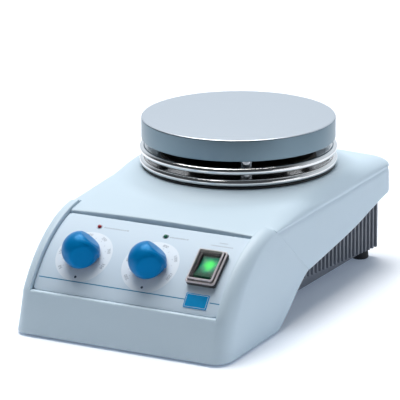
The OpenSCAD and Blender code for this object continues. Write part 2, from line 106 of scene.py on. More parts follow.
def through(points, at):
    """The height at a place along a smooth line through (place, height) points."""
    k = max(i for i in range(len(points) - 1) if at >= points[i][0] or i == 0)
    (x0, y0), (x1, y1) = points[k], points[k + 1]
    before, after = points[max(k - 1, 0)], points[min(k + 2, len(points) - 1)]
    m0 = (y1 - before[1]) / (x1 - before[0]) * (x1 - x0)
    m1 = (after[1] - y0) / (after[0] - x0) * (x1 - x0)
    t = (at - x0) / (x1 - x0)
    if not 0 <= t <= 1:
        return y0 + m0 * t if t < 0 else y1 + m1 * (t - 1)
    return (y0 * (1 + 2 * t) * (1 - t) ** 2 + m0 * t * (1 - t) ** 2
            + y1 * t * t * (3 - 2 * t) + m1 * t * t * (t - 1))


def ease(low, high, at):
    """A smooth step from 0 at low to 1 at high."""
    t = min(max((at - low) / (high - low), 0), 1)
    return t * t * (3 - 2 * t)


def placed(name, bm):
    """An object of the scene made from a bmesh, which is used up."""
    mesh = bpy.data.meshes.new(name)
    bm.to_mesh(mesh)
    bm.free()
    made = bpy.data.objects.new(name, mesh)
    bpy.context.scene.collection.objects.link(made)
    return made


def shell(name, patches, inside=None):
    """One object from grids of points in mm, joined where they meet, its faces turned away from inside."""
    bm = bmesh.new()
    for rows in patches:
        made = [[bm.verts.new((x / 1000, y / 1000, z / 1000)) for x, y, z in row] for row in rows]
        for low, high in zip(made, made[1:]):
            for a, b, c, d in zip(low, low[1:], high[1:], high):
                bm.faces.new((a, b, c, d))
    bmesh.ops.remove_doubles(bm, verts=bm.verts, dist=0.00002)
    bmesh.ops.recalc_face_normals(bm, faces=bm.faces)
    if inside is not None:
        middle = Vector(inside) / 1000
        away = sum((f.calc_center_median() - middle).dot(f.normal) * f.calc_area() for f in bm.faces)
        if away < 0:
            bmesh.ops.reverse_faces(bm, faces=bm.faces)
    return placed(name, bm)


def settle(piece, modifiers=(), sharp=38):
    """Applies the modifiers, each a kind and its settings, and shades the mesh smooth up to the sharp angle."""
    for kind, settings in modifiers:
        modifier = piece.modifiers.new(kind.lower(), kind)
        for name, value in settings.items():
            setattr(modifier, name, value)
    bpy.context.view_layer.update()
    solid = bpy.data.meshes.new_from_object(piece.evaluated_get(bpy.context.evaluated_depsgraph_get()))
    piece.modifiers.clear()
    piece.data = solid
    solid.polygons.foreach_set("use_smooth", [True] * len(solid.polygons))
    solid.set_sharp_from_angle(angle=math.radians(sharp))
    return piece


def edge_round(width, angle):
    """A bevel of a width in metres on every edge sharper than an angle in degrees, for settle."""
    return "BEVEL", {"width": width, "segments": 2, "limit_method": "ANGLE", "angle_limit": math.radians(angle)}


def fit(piece, body, material, slot, *nodes):
    """Gives a piece its material and body, and says which CAD nodes it stands for. The slot is not used."""
    piece.data.materials.clear()
    piece.data.materials.append(material)
    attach(piece, body)
    if nodes:
        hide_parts(*nodes)
    return piece


def lathe(profile, x=0.0, y=0.0, steps=128):
    """A grid turned from an outline of (radius, height) points, about an upright line."""
    turns = [2 * math.pi * i / steps for i in range(steps)] + [0]
    return [[(x + r * math.cos(a), y + r * math.sin(a), z) for a in turns] for r, z in profile]


def soften(corners, steps=4, closed=True):
    """An outline through (a, b, radius) corners, each rounded off to about its radius."""
    out = []
    count = len(corners)
    for i, (a, b, radius) in enumerate(corners):
        if radius == 0 or (not closed and i in (0, count - 1)):
            out.append((a, b))
            continue
        here = Vector((a, b))
        ends = [Vector(corners[(i + k) % count][:2]) for k in (-1, 1)]
        start, end = [here + (e - here).normalized() * min(radius, (e - here).length * 0.49) for e in ends]
        for k in range(steps + 1):
            t = k / steps
            out.append(tuple(start * (1 - t) ** 2 + here * 2 * t * (1 - t) + end * t * t))
    return out + out[:1] if closed else out


CREASE = 71.6          # height of the line between shoulder and skirt
SHOULDER_X = 66.5      # where the shoulder starts to roll over
SEAT_Z, SEAT_R = 86.4, 71.5
PLATE_Y = 45.0
CROWN = 1.4            # how much lower the top is at the shoulders than in the middle
SIDE_X = 82.5          # half the width at the bench
DRAFT = 0.9            # how far each side leans in, up to the crease
COVER_FRONT, CORNER_Y, BACK_Y = -58.2, 124, 126
SEAM_Y, SEAM_Z = -58.5, 73
SEAM_GAP = 0.12
MOULD_ROUND = 0.00022
cover_line = [(-75, 74.4), (-60, 77.4), (-40, 80.6), (-20, 83.1), (0, 84.9), (20, 85.9), (45, 86.2),
              (70, 85.9), (90, 85.0), (108, 83.6), (124, 82.0), (142, 79.6)]
skirt_line = [(-60, 25.8), (-8, 32), (14, 34.7), (68, 42), (108, 50), (139.5, 55), (150, 55.2)]


def side_x(z):
    """Half the housing's width at a height: the sides lean in a little, for the mould's draft."""
    return SIDE_X - DRAFT * z / CREASE


def cover_height(x, y, fall):
    """Height of the cover's skin. fall is 1 on the top, and goes to 0 where the shoulder ends."""
    z = CREASE + 1.2 + (through(cover_line, y) - CROWN * (x / SHOULDER_X) ** 2 - CREASE - 1.2) * fall
    lift = 1 - ease(SEAT_R, SEAT_R + 19, math.hypot(x, y - PLATE_Y))
    return z + max(SEAT_Z - z, 0) * lift * ease(0.3, 0.85, fall)


def seam_y(z):
    """Where the joint between front shell and rear cover crosses a height."""
    return SEAM_Y + (SEAM_Z - z) * 50.5 / 41 if z < SEAM_Z else SEAM_Y


across = [SHOULDER_X * (i / 22 - 1) for i in range(45)]
rolls = [0, 7, 14, 20.2, 27, 34, 41, 48, 55, 62, 69, 76, 83, 90]
stations = [i / 64 for i in range(65)]
side_turns = [math.radians(a) for a in (0, 11.25, 22.5, 33.75, 45, 56.25, 67.5, 78.75, 90)]


def plan(front, side):
    """Inner and outer plan points of one side's run, the rear corner and half of the rear.

    The rings that lie between the two points make the shoulder and the skirt.
    """
    run = [((side * SHOULDER_X, front + v * (CORNER_Y - front)), (side * SIDE_X, front + v * (BACK_Y - front)))
           for v in stations]
    corner = [((side * SHOULDER_X, CORNER_Y), (side * (68.5 + 14 * math.cos(a)), BACK_Y + 14 * math.sin(a)))
              for a in side_turns[1:]]
    rear = [((side * -x, CORNER_Y), (side * -x * 68.5 / SHOULDER_X, 140)) for x in across[1:23]]
    return run + corner + rear


cover_patches = []
for side in (-1, 1):
    rings = []
    for roll in rolls:
        out, fall = math.sin(math.radians(roll)), math.cos(math.radians(roll))
        reach = out * (side_x(CREASE) - SHOULDER_X) / (SIDE_X - SHOULDER_X)
        ring = []
        for (ix, iy), (ox, oy) in plan(COVER_FRONT, side):
            x, y = ix + (ox - ix) * reach, iy + (oy - iy) * reach
            ring.append((x, y, cover_height(x, y, fall)))
        rings.append(ring)
    # the shoulder turns in slightly to a shallow valley, and the skirt flares out again below it
    for down, reach in ((0.9, 0.935), (0.0, 0.905), (-0.9, 0.918), (-2.2, 0.936)):
        rings.append([(ix + (ox - ix) * reach, iy + (oy - iy) * reach, CREASE + down)
                      for (ix, iy), (ox, oy) in plan(seam_y(CREASE + down) + SEAM_GAP, side)])
    for k in range(1, 13):
        share = k / 12
        # where this ring meets the slanting joint, found by halving
        low, high = SEAM_Y, -8.0
        for _ in range(40):
            y = (low + high) / 2
            z = CREASE - 2.2 - share * (CREASE - 2.2 - through(skirt_line, y))
            low, high = (low, y) if seam_y(z) < y else (y, high)
        ring = []
        for (ix, iy), (ox, oy) in plan(low + SEAM_GAP, side):
            z = CREASE - 2.2 - share * (CREASE - 2.2 - through(skirt_line, min(oy, 139.5)))
            reach = (side_x(z) - SHOULDER_X) / (SIDE_X - SHOULDER_X)
            ring.append((ix + (ox - ix) * reach, iy + (oy - iy) * reach, z))
        rings.append(ring)
    cover_patches.append(rings)
top_rows = []
for v in stations:
    y = COVER_FRONT + v * (CORNER_Y - COVER_FRONT)
    top_rows.append([(x, y, cover_height(x, y, 1)) for x in across])
cover_patches.append(top_rows)
# the tongue runs forward between the cheeks of the front shell
tongue_rolls = [math.sin(math.radians(a)) for a in rolls[1:4]]
tongue_across = ([-SHOULDER_X - t * (side_x(CREASE) - SHOULDER_X) for t in reversed(tongue_rolls)] + across
                 + [SHOULDER_X + t * (side_x(CREASE) - SHOULDER_X) for t in tongue_rolls])
tongue = []
for y in (-73.5, -73.4, -73.2, -72.6, -71.4, -69, -66, -62, COVER_FRONT):
    row = []
    for x in tongue_across:
        out = max(abs(x) - SHOULDER_X, 0) / (side_x(CREASE) - SHOULDER_X)
        sink = {-73.5: 4.3, -73.4: 0.75, -73.2: 0.3, -72.6: 0.08}.get(y, 0)
        row.append((x, y, cover_height(x, y, math.sqrt(1 - out * out)) - sink))
    tongue.append(row)
cover_patches.append(tongue)
rear_cover = shell("rear_cover", cover_patches, inside=(0, 45, 50))
settle(rear_cover, [("SOLIDIFY", {"thickness": 0.003, "offset": -1, "use_even_offset": True}),
                    edge_round(MOULD_ROUND, 55)], sharp=50)

# the hole for the support rod's socket, and the flat boss round it
ROD_X, ROD_Y = -55.0, 118.0
rod_hole = settle(shell("rod_hole", [lathe([(0, 60), (10.15, 60), (10.15, 95), (0, 95)], ROD_X, ROD_Y, 64)]))
settle(rear_cover, [("BOOLEAN", {"operation": "DIFFERENCE", "object": rod_hole, "solver": "EXACT"})], sharp=50)
bpy.data.objects.remove(rod_hole)
boss_outline = soften([(10.1, 76, 0), (10.1, 82.2, 0.3), (12.4, 82.2, 0.5), (12.9, 80.6, 0.5), (14.4, 80.2, 0.3),
                       (14.4, 76, 0)])
rod_boss = settle(shell("rod_boss", [lathe(boss_outline, ROD_X, ROD_Y, 72)]))

# Moulded polyurethane, textured tool: the eroded grain breaks the gloss into a soft satin sheen.
# The tint wanders very slightly, as pigment does in a thick moulding.
housing, tree, shader = finish("polyurethane_moulded_grained", "#C4D6E2", 0.44, Specular_IOR_Level=0.42)
textured(tree, shader, (0.38, 0.50), (0.12, 0.00012), Scale=1400.0, Detail=3.0, Roughness=0.6)
textured(tree, shader, shades=("#C1D4E0", "#C7D8E4"), Scale=22.0, Detail=2.0)

fit(rear_cover, "stirrer", housing, "housing_paint", "top_cover")
fit(rod_boss, "stirrer", housing, "housing_paint")

# ---- Front shell
# The lower front housing: a second moulding in the same grained polyurethane. Its raised cheeks frame the
# control panel and end in a rounded step over the rear cover, and its front apron leans back. The sides end in
# an arch that leaves room for fingers, and meet the rear cover along a slanting joint.

BEND_Y, BEND_Z, PANEL_R = -47.4, -19.5, 95.0
CHEEK_X, CREST_R = 71.9, 98.2


def on_arc(radius, angle):
    """The y and z of a point on the panel's bend, at a radius and an angle in degrees."""
    a = math.radians(angle)
    return BEND_Y + radius * math.cos(a), BEND_Z + radius * math.sin(a)


apron = [(-140 + 8.4 * t, 2 + 29 * t) for t in (i / 14 for i in range(15))]
crest_angles = [149 - i * 50.2 / 34 for i in range(35)]
run = [(p, Vector((math.cos(math.radians(-31 * i / 14)), math.sin(math.radians(-31 * i / 14)))), 14.0,
        Vector((-0.96, 0.278))) for i, p in enumerate(apron)]
for angle in crest_angles[1:]:
    a = math.radians(angle)
    outward = Vector((math.cos(a), math.sin(a)))
    run.append((on_arc(CREST_R, angle), -outward, 6.0 + 8.0 * ease(98.8, 152, angle), outward))
for (y, z), fall in (((-60.9, 77.1), (0.9, -5.3)), ((-59.7, 76.2), (1.1, -4.4)), ((-58.9, 74.8), (1.3, -3.1)),
                     ((-58.5, 73.0), (1.4, -1.4))):
    fall = Vector(fall)
    run.append(((y, z), fall.normalized(), fall.length, Vector((0.15, 0.99))))

shoulder_rolls = [math.radians(a) for a in (0, 9, 18, 27, 36, 45, 54, 63, 72, 81, 90)]
lower_edge = [(-126.0, 2.0), (-110, 2), (-90, 2), (-72, 2), (-60, 2), (-57, 2.3), (-53, 4.4), (-46.5, 8.2),
              (-40, 12.5), (-33, 17.6), (-26.2, 22.6), (-21.5, 25.8), (-17.7, 28.1), (-12.6, 30.7), (-8.3, 32.2),
              (-16, 38.5), (-24, 45), (-32, 51.5), (-40, 58), (-48, 64.5), (-54, 69.4), (-57.1, 71.6)]


def along(points, share):
    """The point at a share of the length of a line of points."""
    lengths = [math.dist(a, b) for a, b in zip(points, points[1:])]
    left = share * sum(lengths)
    for a, b, length in zip(points, points[1:], lengths):
        if left <= length:
            return [p + (q - p) * left / length for p, q in zip(a, b)]
        left -= length
    return list(points[-1])


def set_back(i):
    """How far the inner edge of a cheek is rounded off: nothing on the apron, 0.7 mm beside the panel."""
    return 0.7 * min(max((i - 13) / 2, 0), 1)


front_patches = []
for side in (-1, 1):
    shoulder, rims = [], []
    for i, ((y, z), fall, depth, outward) in enumerate(run):
        row = []
        for roll in shoulder_rolls:
            drop = depth * (1 - math.cos(roll))
            py, pz = y + fall.x * drop, max(z + fall.y * drop, 2.0)
            edge = side_x(z + fall.y * depth)
            start = CHEEK_X + set_back(i)
            row.append((side * (start + (edge - start) * math.sin(roll)), py, pz))
        shoulder.append(row)
        rims.append((row[-1][1], row[-1][2]))
    front_patches.append(shoulder)
    # the flat side: ruled between the shoulder's edge and the lower edge
    total = sum(math.dist(a, b) for a, b in zip(rims, rims[1:]))
    travelled, rows = 0.0, []
    for i, rim in enumerate(rims):
        travelled += math.dist(rims[i - 1], rim) if i else 0
        foot = along(lower_edge, travelled / total)
        rows.append([(side * side_x(rim[1] + (foot[1] - rim[1]) * t), rim[0] + (foot[0] - rim[0]) * t,
                      rim[1] + (foot[1] - rim[1]) * t) for t in (j / 8 for j in range(9))])
    front_patches.append(rows)
    # inner wall of the cheek, down past the panel's seat, with a small round at its top
    wall = []
    down_wall = ((1, 0), (0.62, 0.06), (0.3, 0.22), (0.08, 0.45), (0, 0.8), (0, 3.0), (0, 5.6))
    for i, ((y, z), fall, depth, outward) in enumerate(run[13:], 13):
        wall.append([(side * (CHEEK_X + set_back(i) * s), y - outward.x * d, z - outward.y * d)
                     for s, d in down_wall])
    front_patches.append(wall)
# the apron between the cheeks, its rounded top edge and the ledge under the panel
columns = [CHEEK_X * (i / 24 - 1) for i in range(49)]
ledge = soften([(-140, 2, 0), (-131.6, 31, 1.5), (-128.3, 30.75, 0.4), (-126.4, 29.3, 0)], 5, closed=False)
profile = apron[:14] + ledge[1:]
front_patches.append([[(x, y, z) for x in columns] for y, z in profile])
front_patches.append([[(x, *on_arc(92.8, 148.6 - 1.2 * k)) for x in (-72.4, 0, 72.4)] for k in range(36)])
front_shell = shell("front_shell", front_patches, inside=(0, -85, 20))
settle(front_shell, [("SOLIDIFY", {"thickness": 0.0026, "offset": -1, "use_even_offset": False}),
                     edge_round(MOULD_ROUND, 60)], sharp=50)
fit(front_shell, "stirrer", housing, "housing_paint", "front_console")

# ---- Control panel
# A thin sheet bent to one even curve and laid in the front shell's recess. Its face is a satin polycarbonate
# film, printed from behind: two pale dials with grey figures, a fine blue rule and short grey marks.

KNOB_XS, KNOB_AT, LAMP_AT = (-42.0, 10.0), 129.7, 113.4
PANEL_TOP, PANEL_LOW, PANEL_HALF, CORNER_R = 106.9, 148.0, 71.5, 3.0


def wrapped(x, angle, u, v, lift):
    """A point laid on the bent panel: u to the right, v up the slope, lift above the film. All in mm."""
    a = math.radians(angle) - v / PANEL_R
    return x + u, BEND_Y + (PANEL_R + lift) * math.cos(a), BEND_Z + (PANEL_R + lift) * math.sin(a)


span = math.radians(PANEL_LOW - PANEL_TOP) * PANEL_R
film_rows = []
stops = [CORNER_R * (1 - math.cos(math.radians(a))) for a in range(0, 91, 15)]
middle_stops = [CORNER_R + (span - 2 * CORNER_R) * i / 44 for i in range(1, 44)]
stops = stops + middle_stops + [span - s for s in reversed(stops)]
for v in stops:
    edge = CORNER_R - min(v, span - v, CORNER_R)
    half = PANEL_HALF - CORNER_R + math.sqrt(max(CORNER_R ** 2 - edge ** 2, 0))
    film_rows.append([wrapped(0, PANEL_TOP, half * (i / 30 - 1), -v, 0) for i in range(61)])
panel = shell("panel_film", [film_rows], inside=(0, BEND_Y, BEND_Z))
settle(panel, [("SOLIDIFY", {"thickness": 0.002, "offset": -1}), edge_round(0.00025, 60)], sharp=50)

# Polycarbonate film, roller-textured on its face: smooth at arm's length, with a broad soft gloss.
film, tree, shader = finish("polycarbonate_film_satin", "#C9D9E6", 0.42, Specular_IOR_Level=0.22)
textured(tree, shader, (0.36, 0.5), (0.06, 0.00005), Scale=2600.0, Detail=2.0)
fit(panel, "stirrer", film, "panel_film", "control_panel")


def ink(name, colour):
    """Screen-printed ink: flat and matt, a little uneven where the mesh of the screen laid it down."""
    made, tree, shader = finish(name, colour, 0.5)
    textured(tree, shader, (0.42, 0.58), Scale=1800.0, Detail=1.0)
    return made


pale_ink = ink("ink_printed_pale", "#DCE6EF")
grey_ink = ink("ink_printed_grey", "#8E9AA6")
faint_ink = ink("ink_printed_faint", "#A9B5C1")
dark_ink = ink("ink_printed_dark", "#4C5866")
blue_ink = ink("ink_printed_blue", "#2F86AE")


def strip(x, angle, u0, u1, v0, v1, lift=0.05, cells=1):
    """A printed bar on the film, between two places to the right and two up the slope."""
    return [[wrapped(x, angle, u0 + (u1 - u0) * i / cells, v, lift) for i in range(cells + 1)]
            for v in (v0, v1)]


def rings_on(surface, x, angle, turns, outline, up=0.0):
    """Rings of (radius, lift) round a spot on the panel. surface lays them: wrapped or panel_point."""
    return [[surface(x, angle, r * math.cos(a), up + r * math.sin(a), lift) for a in turns]
            for r, lift in outline]


FIGURE_R, FIGURE_SIZE = 18.2, 3.1
for number, x in enumerate(KNOB_XS):
    circle = [math.radians(5 * i) for i in range(73)]
    field_rings = ((9, 0.03), (13, 0.03), (17, 0.03), (20.6, 0.03), (21.0, 0.0))
    field = rings_on(wrapped, x, KNOB_AT, circle, field_rings)
    fit(shell(f"dial_field_{number + 1}", [field]), "stirrer", pale_ink, "panel_film")
    # the figures follow the scale clockwise from the stop at the foot of the dial
    figures = ([(50 + 40 * i, str(50 * (i + 1))) for i in range(7)] if number == 0
               else [(50 + 48 * i, str(200 * (i + 1))) for i in range(6)])
    bm = bmesh.new()
    for travel, word in figures:
        curve = bpy.data.curves.new("figure", "FONT")
        curve.body, curve.size, curve.align_x, curve.align_y = word, FIGURE_SIZE, "CENTER", "CENTER"
        letters = bpy.data.objects.new("figure", curve)
        bpy.context.scene.collection.objects.link(letters)
        bpy.context.view_layer.update()
        flat = bpy.data.meshes.new_from_object(letters)
        bpy.data.objects.remove(letters)
        middle = math.radians(270 - travel)
        for vertex in flat.vertices:
            # each word bends along the dial's circle
            a = middle - vertex.co.x / FIGURE_R
            r = FIGURE_R + vertex.co.y
            vertex.co = Vector(wrapped(x, KNOB_AT, r * math.cos(a), r * math.sin(a), 0.07)) / 1000
        bm.from_mesh(flat)
        bpy.data.meshes.remove(flat)
    fit(placed(f"dial_figures_{number + 1}", bm), "stirrer", grey_ink, "panel_film")
    ticks = []
    for travel in [f[0] for f in figures] + [f[0] + 20 for f in figures[:-1]]:
        a = math.radians(270 - travel)
        ticks.append(rings_on(wrapped, x, KNOB_AT, (a - 0.008, a + 0.008), ((15.2, 0.06), (16.1, 0.06))))
    fit(shell(f"dial_ticks_{number + 1}", ticks), "stirrer", grey_ink, "panel_film")
    dot = rings_on(wrapped, x, KNOB_AT, circle, ((0, 0.07), (0.95, 0.07)), up=-17.3)
    fit(shell(f"dial_stop_{number + 1}", [dot]), "stirrer", dark_ink, "panel_film")

rule = [strip(0, 142.2, -69.7, 44.0, -0.35, 0.35, cells=20), strip(0, 142.2, 63.0, 70.4, -0.35, 0.35, cells=2)]
fit(shell("printed_rule", rule), "stirrer", blue_ink, "panel_film")
BAR_GAP = 0.45
marks = []
for start, end in ((-38.4, -19.0), (13.2, 26.5)):
    at = start
    while at < end:
        width = random.uniform(0.9, 1.5)
        marks.append(strip(0, LAMP_AT, at, at + width, -0.55, random.choice((0.5, 0.75))))
        at += width + BAR_GAP
for start, end, v in ((51.0, 56.5, 1.6), (46.0, 61.5, -1.6)):
    at = start
    while at < end:
        width = random.uniform(0.8, 1.4)
        marks.append(strip(0, LAMP_AT, at, at + width, v - 0.5, v + 0.5))
        at += width + BAR_GAP
fit(shell("printed_marks", marks), "stirrer", faint_ink, "panel_film")

# ---- Badge
# A small enamelled plate at the panel's foot: plain blue with a pale rim, pressed from thin sheet and glued on.

BADGE_X, BADGE_AT = 53.0, 142.4


def ring_of(width, height, radius, steps=5):
    """Points round a rectangle with rounded corners."""
    out = []
    for cx, cy, start in ((1, 1, 0), (-1, 1, 90), (-1, -1, 180), (1, -1, 270)):
        for i in range(steps + 1):
            a = math.radians(start + 90 * i / steps)
            out.append((cx * (width / 2 - radius) + radius * math.cos(a),
                        cy * (height / 2 - radius) + radius * math.sin(a)))
    return out + out[:1]


def laid(rings, x, angle):
    """Rounded rectangles (width, height, radius, lift) laid one above another on the bent panel."""
    return [[wrapped(x, angle, u, v, lift) for u, v in ring_of(w, h, max(r, 0.001))] for w, h, r, lift in rings]


# Vitreous enamel, fired: deep colour under a hard clear gloss.
enamel, tree, shader = finish("enamel_fired_blue", "#0E93CE", 0.16, Coat_Weight=0.4, Coat_Roughness=0.08)
textured(tree, shader, shades=("#0C8CC8", "#169AD6"), Scale=260.0, Detail=2.0)
plate = shell("badge_plate", [laid([(17.6, 10.6, 0.8, 0.02), (17.6, 10.6, 0.8, 0.32), (17.3, 10.3, 0.7, 0.46),
                                    (16.8, 9.8, 0.6, 0.5), (0.1, 0.1, 0.04, 0.5)], BADGE_X, BADGE_AT)])
fit(settle(plate), "stirrer", enamel, "badge_blue", "badge")
rim = shell("badge_rim", [laid([(16.2, 9.2, 0.5, 0.515), (15.7, 8.7, 0.4, 0.515)], BADGE_X, BADGE_AT)])
fit(rim, "stirrer", pale_ink, "badge_blue")

# ---- Knobs
# Two control knobs, each moulded in one piece in blue ABS with a satin tool: a dome with two slanted grip faces
# that leave a ridge, and the ridge is the pointer. A steel insert inside grips the shaft.

DOME_R, DOME_AT = 13.1, 6.3
GRIP = Vector((0.547, 0.741, 0.388))
GRIP_DEPTH, RIDGE_HALF = 10.4, 1.5
FAR = 60               # a length past which a face of the knob is out of reach


def panel_point(x, angle, u, v, w):
    """A point in the flat frame that touches the panel at (x, angle): u right, v up the slope, w outwards."""
    a = math.radians(angle)
    return (x + u, BEND_Y + (PANEL_R + w) * math.cos(a) + v * math.sin(a),
            BEND_Z + (PANEL_R + w) * math.sin(a) - v * math.cos(a))


def soft_pick(values, width, largest=True):
    """The largest or smallest of some lengths, with the change from one to the next rounded off."""
    sign = 1 if largest else -1
    peak = max(v * sign for v in values)
    return sign * (peak + width * math.log(sum(math.exp((v * sign - peak) / width) for v in values)))


def knob_reach(d):
    """How far the knob's skin is from the dome's middle in a direction."""
    limits = [DOME_R]
    for s in (-1, 1):
        facing = d.x * GRIP.x + d.y * s * GRIP.y + d.z * GRIP.z
        flank = GRIP_DEPTH / facing if facing > 0.05 else 2 * FAR
        ridge = RIDGE_HALF / max(abs(d.y), 0.01) if d.y * s > 0 else 2 * FAR
        if min(flank, ridge) < FAR:
            limits.append(soft_pick([min(flank, FAR), min(ridge, FAR)], 0.5))
    if d.z < 0:
        limits.append(DOME_R / max(math.hypot(d.x, d.y), 0.01))
    dome = soft_pick(limits, 0.3, largest=False) + 0.2
    # the pointer stands a little proud of the dome, most of all at its tip
    tip = min(DOME_R + 0.9 * ease(0.1, 0.95, d.x), (RIDGE_HALF - 0.1) / max(abs(d.y), 0.01))
    return soft_pick([dome, tip], 0.12) if d.x > 0 else dome


# ABS, moulded in a satin tool: strong even blue, with a wide soft highlight and a faint skin texture.
blue_abs, tree, shader = finish("abs_moulded_blue", "#0074B2", 0.3, Specular_IOR_Level=0.6,
                              Specular_Tint=linear("#2CB0F5"))
textured(tree, shader, (0.26, 0.36), (0.08, 0.00006), Scale=1500.0, Detail=2.0)

for x, body in zip(KNOB_XS, ("heat", "speed")):
    rows = []
    for i in range(74):
        polar = math.radians(0.4 + i * 1.5)
        row = []
        for j in range(145):
            a = math.radians(j * 2.5)
            d = Vector((math.sin(polar) * math.cos(a), math.sin(polar) * math.sin(a), math.cos(polar)))
            p = d * knob_reach(d)
            row.append(panel_point(x, KNOB_AT, p.x, p.y, max(p.z + DOME_AT, 1.45)))
        rows.append(row)
    turns = [math.radians(j * 2.5) for j in range(145)]
    under = rings_on(panel_point, x, KNOB_AT, turns, ((7.6, 1.3), (7.2, 1.6), (7.2, 6.2), (3.05, 6.4)))
    # the foot is drawn in a little and turned under to the hollow inside
    base = Vector(panel_point(x, KNOB_AT, 0, 0, 1.2))
    inset = [tuple(base + (Vector(p) - base) * 0.985) for p in rows[-1]]
    knob = shell(f"{body}_knob_moulding", [rows + [inset] + under])
    settle(knob, sharp=60)
    fit(knob, f"{body}_control", blue_abs, "knob_blue", f"{body}_knob")

# ---- Lamps
# Two indicator lamps: tinted acrylic light pipes, each a small dome that stands just proud of the film.

for x, name, colour, node in ((KNOB_XS[0], "red", "#B8323A", "heat_lamp"),
                              (KNOB_XS[1], "green", "#1F7A5A", "power_lamp")):
    # Acrylic, moulded and tinted: clear gloss over a dark body, as an unlit lamp looks.
    lens, tree, shader = finish(f"acrylic_moulded_{name}", colour, 0.12, Coat_Weight=0.3,
                                Transmission_Weight=0.15)
    textured(tree, shader, (0.08, 0.18), Scale=900.0)
    turns = [math.radians(10 * i) for i in range(37)]
    outline = [(1.5, -5.5), (1.5, 0.2)] + [(1.5 * math.cos(a), 0.2 + 1.5 * math.sin(a))
                                           for a in (math.radians(15 * k) for k in range(1, 7))]
    pipe = shell(f"lamp_lens_{name}", [rings_on(panel_point, x, LAMP_AT, turns, outline)])
    fit(settle(pipe), "stirrer", lens, f"lamp_{name}", node)
    collar = shell(f"lamp_collar_{name}", [rings_on(wrapped, x, LAMP_AT, turns, (
        (1.6, -0.1), (1.7, 0.12), (2.1, 0.12), (2.25, 0.0)))])
    fit(settle(collar), "stirrer", dark_ink if name == "green" else faint_ink, "panel_film")

# ---- Mains switch
# A lit rocker in a black polyamide frame, snapped into the panel from outside. A clear PVC boot covers it: a
# flat flange with a raised window, clipped under the frame, that keeps splashes out.

SWITCH_X, SWITCH_AT = 53.0, 127.6


def raised_box(rings, x=SWITCH_X, angle=SWITCH_AT):
    """Rounded rectangles (width, height, radius, lift) stacked in the flat frame of the switch."""
    return [[panel_point(x, angle, u, v, w) for u, v in ring_of(width, height, max(r, 0.001))]
            for width, height, r, w in rings]


# Polyamide, moulded black: even, with a dull sheen.
black, tree, shader = finish("polyamide_moulded_black", "#1B1D20", 0.42)
textured(tree, shader, (0.36, 0.52), (0.1, 0.00006), Scale=1200.0, Detail=2.0)

frame_rings = [(20.6, 26.6, 1.2, -0.9), (21.6, 27.6, 1.5, 0.2), (21.8, 27.8, 1.6, 1.5), (21.4, 27.4, 1.5, 2.05),
               (20.6, 26.6, 1.3, 2.2), (15.6, 22.8, 0.8, 2.2), (14.6, 21.8, 0.6, 1.9), (14.0, 21.2, 0.5, 1.2),
               (14.0, 21.2, 0.4, -13.5), (0.1, 0.1, 0.04, -13.5)]
switch_frame = shell("switch_frame", [raised_box(frame_rings)])
settle(switch_frame, [("SOLIDIFY", {"thickness": 0.0004, "offset": 0})], sharp=50)
fit(switch_frame, "stirrer", black, "black_plastic", "switch_housing")

# Polycarbonate, green and translucent, lit from behind: brightest in the middle, dark and glassy at the rim.
glow_green, tree, shader = finish("polycarbonate_lit_green", "#063E28", 0.3, Specular_IOR_Level=0.15,
                                  Emission_Strength=1.05)
spot = add(tree, "ShaderNodeTexCoord")
heart = panel_point(SWITCH_X + 0.3, SWITCH_AT, 0, 2.6, 1.0)
from_heart = add(tree, "ShaderNodeVectorMath", {0: (spot, "Object")}, operation="DISTANCE")
from_heart.inputs[1].default_value = [c / 1000 for c in heart]
cloud = add(tree, "ShaderNodeTexNoise", {"Vector": (spot, "Object"), "Scale": 240.0, "Detail": 1.5})
wander = add(tree, "ShaderNodeMath", {0: (cloud, "Fac"), 1: 0.006}, operation="MULTIPLY")
distance = add(tree, "ShaderNodeMath", {0: (from_heart, "Value"), 1: (wander, "Value")}, operation="ADD")
spread = add(tree, "ShaderNodeValToRGB", {"Fac": (add(tree, "ShaderNodeMapRange", {
    "Value": (distance, "Value"), "From Min": 0.003, "From Max": 0.0135}), "Result")})
stops_of = spread.color_ramp.elements
stops_of[0].position, stops_of[0].color = 0.0, linear("#08FF5C")
stops_of[1].position, stops_of[1].color = 1.0, linear("#04140F")
for place, colour in ((0.25, "#00E050"), (0.48, "#00885A"), (0.72, "#064636")):
    stop = stops_of.new(place)
    stop.color = linear(colour)
tree.links.new(spread.outputs["Color"], shader.inputs["Emission Color"])

# the rocker's dished top, its rounded shoulders and its pivot, tilted 9 degrees with its upper side pressed in
ROCK_HALF, ROCK_PIVOT = 6.7, -2.0
tilt = math.radians(-9)
section = soften([(-9.3, 5, 0.9), (-6, 4.25, 1.5), (0, 3.75, 4), (6, 4.25, 1.5), (9.3, 5, 0.9), (9.3, 0, 1.0),
                  (4, -6, 1.0), (-4, -6, 1.0), (-9.3, 0, 1.0)], 5)


def rocked(x, y, z):
    """A point of the rocker, given about its pivot, once it is tilted."""
    return panel_point(SWITCH_X, SWITCH_AT, x, y * math.cos(tilt) - z * math.sin(tilt),
                       ROCK_PIVOT + y * math.sin(tilt) + z * math.cos(tilt))


